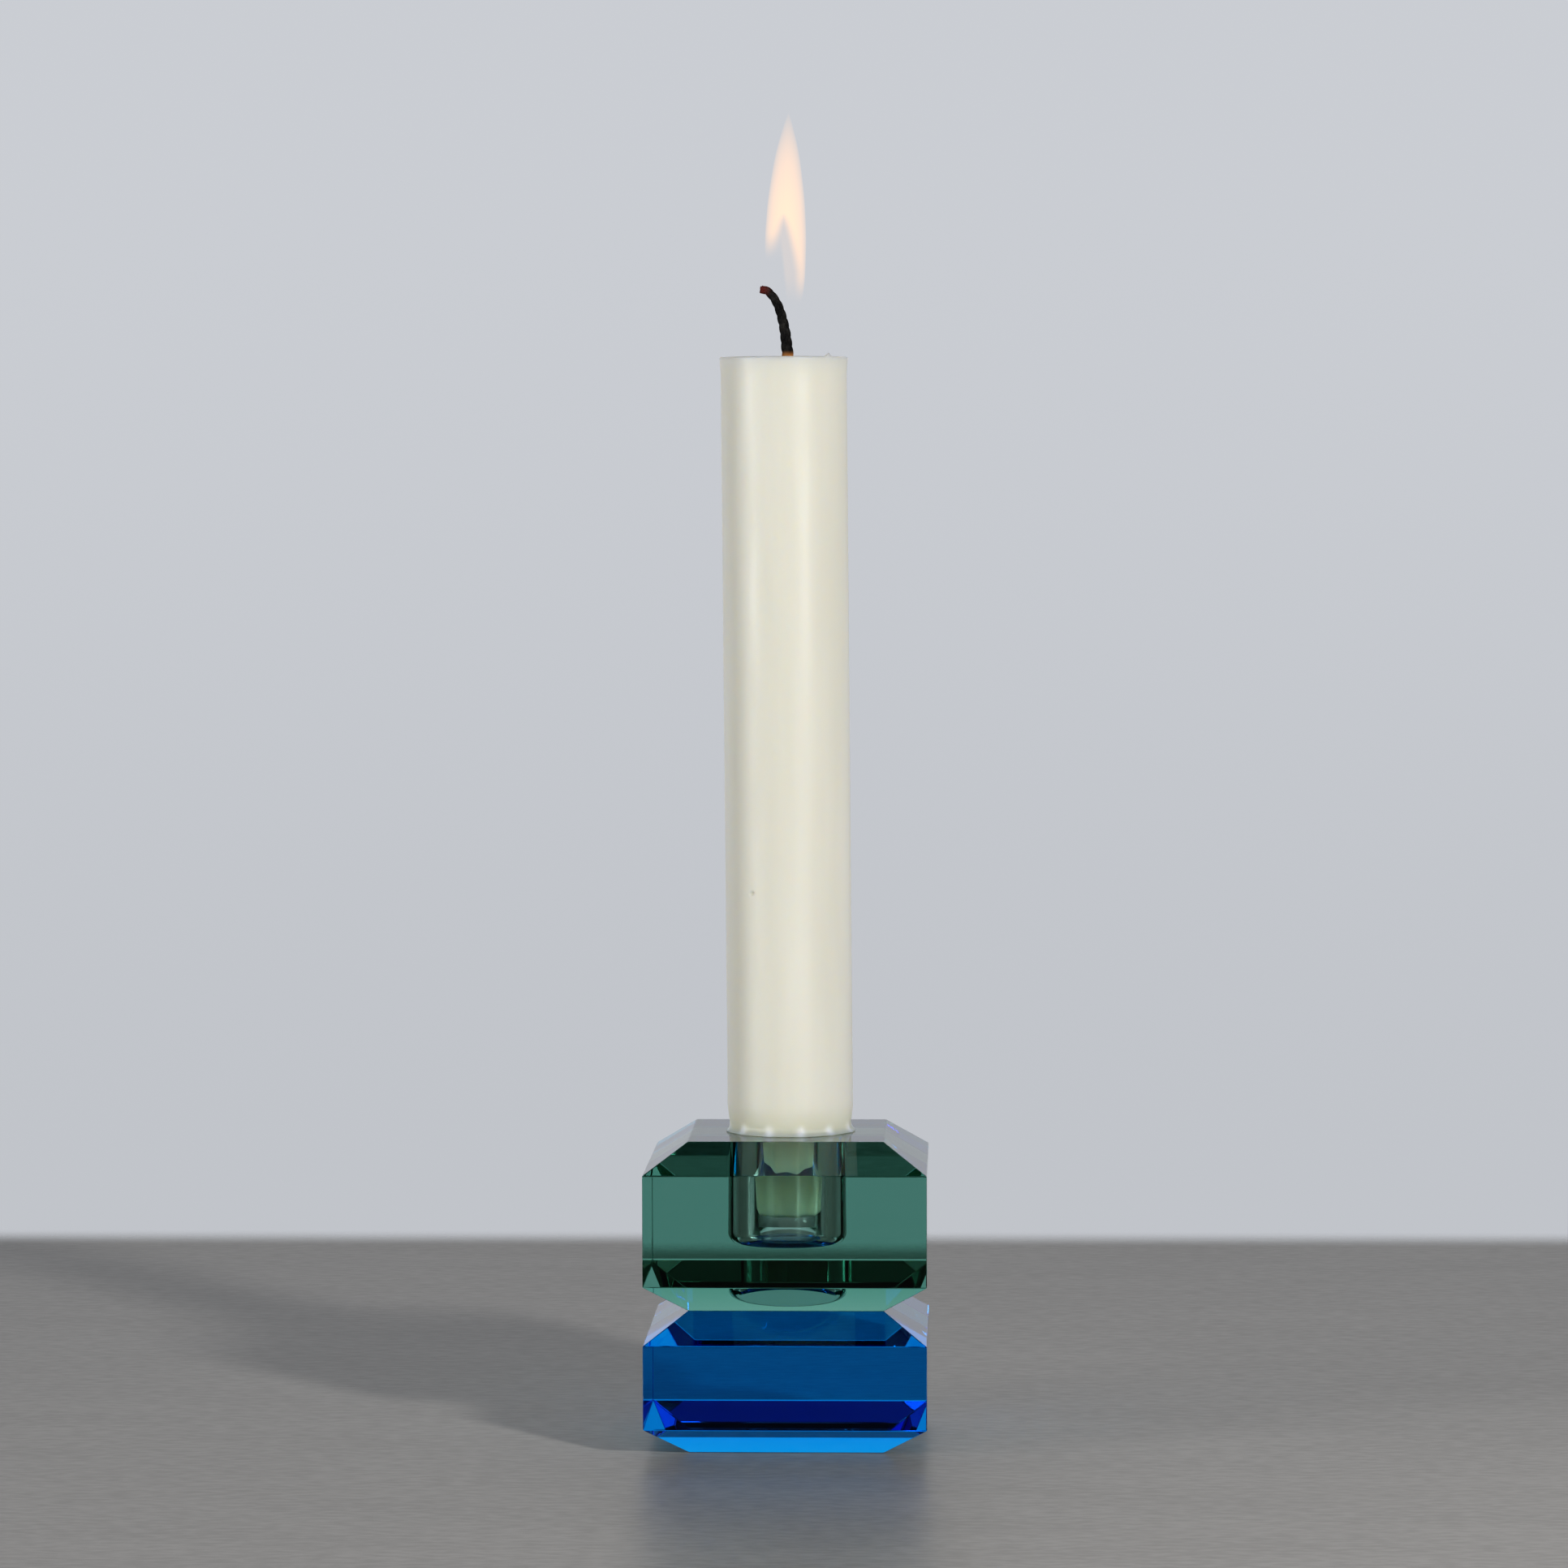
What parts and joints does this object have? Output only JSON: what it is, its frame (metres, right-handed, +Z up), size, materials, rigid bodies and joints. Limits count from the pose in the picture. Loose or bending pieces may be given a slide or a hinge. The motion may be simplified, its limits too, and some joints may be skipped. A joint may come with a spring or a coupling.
{
  "type": "candlestick",
  "caption": "Square glass candlestick: a bevelled smoky-green block bonded on a bevelled blue base block, with a dinner candle that lifts out of a round socket in its top.",
  "frame": {"origin": "centre of the base flat, on the surface that the candlestick stands on", "axes": "+Z up along the candle, X and Y square to the side faces of the blocks, front face towards -Y; the wick curls towards -X"},
  "size_m": [0.05, 0.05, 0.2066],
  "materials": {
    "blue_glass": "polished, transparent cobalt to turquoise blue through its thickness",
    "clear_adhesive": "clear, optically coupled to both blocks",
    "green_glass": "polished, transparent smoky green through its thickness",
    "wax": "ivory candle wax, smooth satin, translucent",
    "wick_cotton": "plaited cotton, charred black where it stands free"
  },
  "bodies": {
    "holder": {"lower_block": "blue_glass", "bond_film": "clear_adhesive", "upper_block": "green_glass"},
    "taper": {"candle": "wax", "wick": "wick_cotton"}
  },
  "joints": [
    {"name": "candle_lift", "type": "slide", "parent": "holder", "child": "taper", "axis": [0, 0, 1], "range_m": [0, 0.03]}
  ]
}
